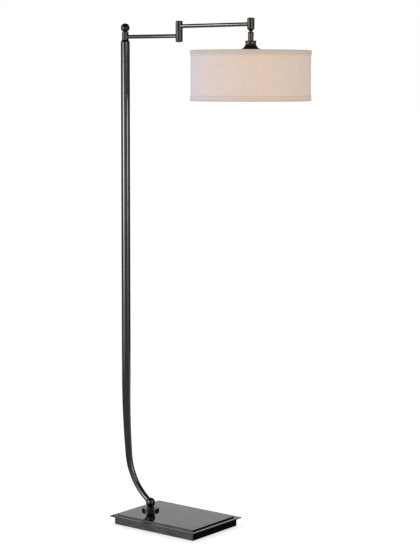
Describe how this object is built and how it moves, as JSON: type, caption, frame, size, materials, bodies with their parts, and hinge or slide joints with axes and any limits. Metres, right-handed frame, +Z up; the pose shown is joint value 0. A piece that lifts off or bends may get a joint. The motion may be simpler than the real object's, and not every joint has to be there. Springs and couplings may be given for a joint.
{
  "type": "floor lamp",
  "caption": "Floor lamp whose curved post stands on a stepped rectangular base; a jointed double swing arm carries a downward drum shade.",
  "frame": {"origin": "centre of the base's underside, on the floor", "axes": "+Z up; +X along the base's long axis, from the post's end towards the shade; +Y by the right-hand rule"},
  "size_m": [0.7303, 0.381, 1.6715],
  "materials": {
    "panel_bronze": "polished dark gunmetal bronze plate, mirror-like",
    "plinth_bronze": "satin dark gunmetal bronze plate",
    "post_bronze": "polished dark gunmetal bronze plate over steel tube",
    "turned_bronze": "polished dark bronze plate over turned fittings",
    "canopy_bronze": "dark bronze plate, spun",
    "ballast_iron": "rough casting, black wash",
    "cover_steel": "matt black sheet",
    "zinc_steel": "zinc-plated threaded parts",
    "bush_nylon": "black nylon, turned",
    "socket_brass": "drawn shell, bright",
    "felt": "dense felt",
    "bushing_black": "matt",
    "lead_jacket": "matt jacket",
    "liner_board": "insulating liner",
    "ring_plastic": "moulded",
    "frame_wire": "plated wire",
    "linen": "slub linen on a hard backing",
    "linen_trim": "folded linen band",
    "bulb_glass": "frosted",
    "bulb_cap": "screw cap",
    "knob_black": "moulded, fluted"
  },
  "bodies": {
    "stand": {"base_plinth": "plinth_bronze", "base_plate": "panel_bronze", "base_panel": "panel_bronze", "base_ballast": "ballast_iron", "ballast_screws": "zinc_steel", "base_cover": "cover_steel", "cover_screws": "zinc_steel", "base_felt": "felt", "cord_bushing": "bushing_black", "foot_flange": "turned_bronze", "foot_collar": "turned_bronze", "foot_ball": "turned_bronze", "foot_pipe": "zinc_steel", "foot_washer": "zinc_steel", "foot_nut": "zinc_steel", "post_lower": "post_bronze", "post_coupler": "zinc_steel", "post_upper": "post_bronze", "post_shoulder": "turned_bronze", "swivel_spindle": "zinc_steel", "top_ball": "turned_bronze", "post_lead": "lead_jacket"},
    "lower_arm": {"arm_sleeve": "turned_bronze", "sleeve_bushes": "bush_nylon", "lower_arm_tube": "post_bronze", "elbow_lower_knuckle": "turned_bronze", "elbow_bush": "bush_nylon", "elbow_bottom_cap": "turned_bronze", "lower_arm_lead": "lead_jacket"},
    "upper_arm": {"elbow_upper_knuckle": "turned_bronze", "elbow_top_cap": "turned_bronze", "elbow_pivot": "zinc_steel", "elbow_washer": "zinc_steel", "elbow_nut": "zinc_steel", "upper_arm_tube": "post_bronze", "end_hub": "turned_bronze", "end_hub_cap": "turned_bronze", "upper_arm_lead": "lead_jacket"},
    "shade_head": {"shade_pipe": "turned_bronze", "hub_washer": "zinc_steel", "hub_nut": "zinc_steel", "shade_stem": "turned_bronze", "bell_canopy": "canopy_bronze", "socket_cap": "socket_brass", "socket_shell": "socket_brass", "socket_liner": "liner_board", "screw_shell": "socket_brass", "centre_contact": "socket_brass", "shade_clamp_ring": "ring_plastic", "shade_spider": "frame_wire", "shade_bottom_ring": "frame_wire", "shade_drum": "linen", "shade_top_trim": "linen_trim", "shade_bottom_trim": "linen_trim", "bulb_base": "bulb_cap", "bulb_glass": "bulb_glass", "socket_lead": "lead_jacket"},
    "switch": {"switch_stem": "zinc_steel", "switch_knob": "knob_black"}
  },
  "joints": [
    {"name": "post_swivel", "type": "hinge", "parent": "stand", "child": "lower_arm", "pos_m": [-0.21458, 0, 1.6191], "axis": [0, 0, 1], "range_deg": [-160, 160]},
    {"name": "elbow_swivel", "type": "hinge", "parent": "lower_arm", "child": "upper_arm", "pos_m": [-0.00057, 0.02061, 1.6345], "axis": [0, 0, 1], "range_deg": [-125, 146]},
    {"name": "shade_swivel", "type": "hinge", "parent": "upper_arm", "child": "shade_head", "pos_m": [0.31024, -0.00659, 1.6295], "axis": [0, 0, 1], "range_deg": [-170, 170]},
    {"name": "switch_turn", "type": "hinge", "parent": "shade_head", "child": "switch", "pos_m": [0.35624, -0.00659, 1.561], "axis": [1, 0, 0], "continuous": true}
  ]
}
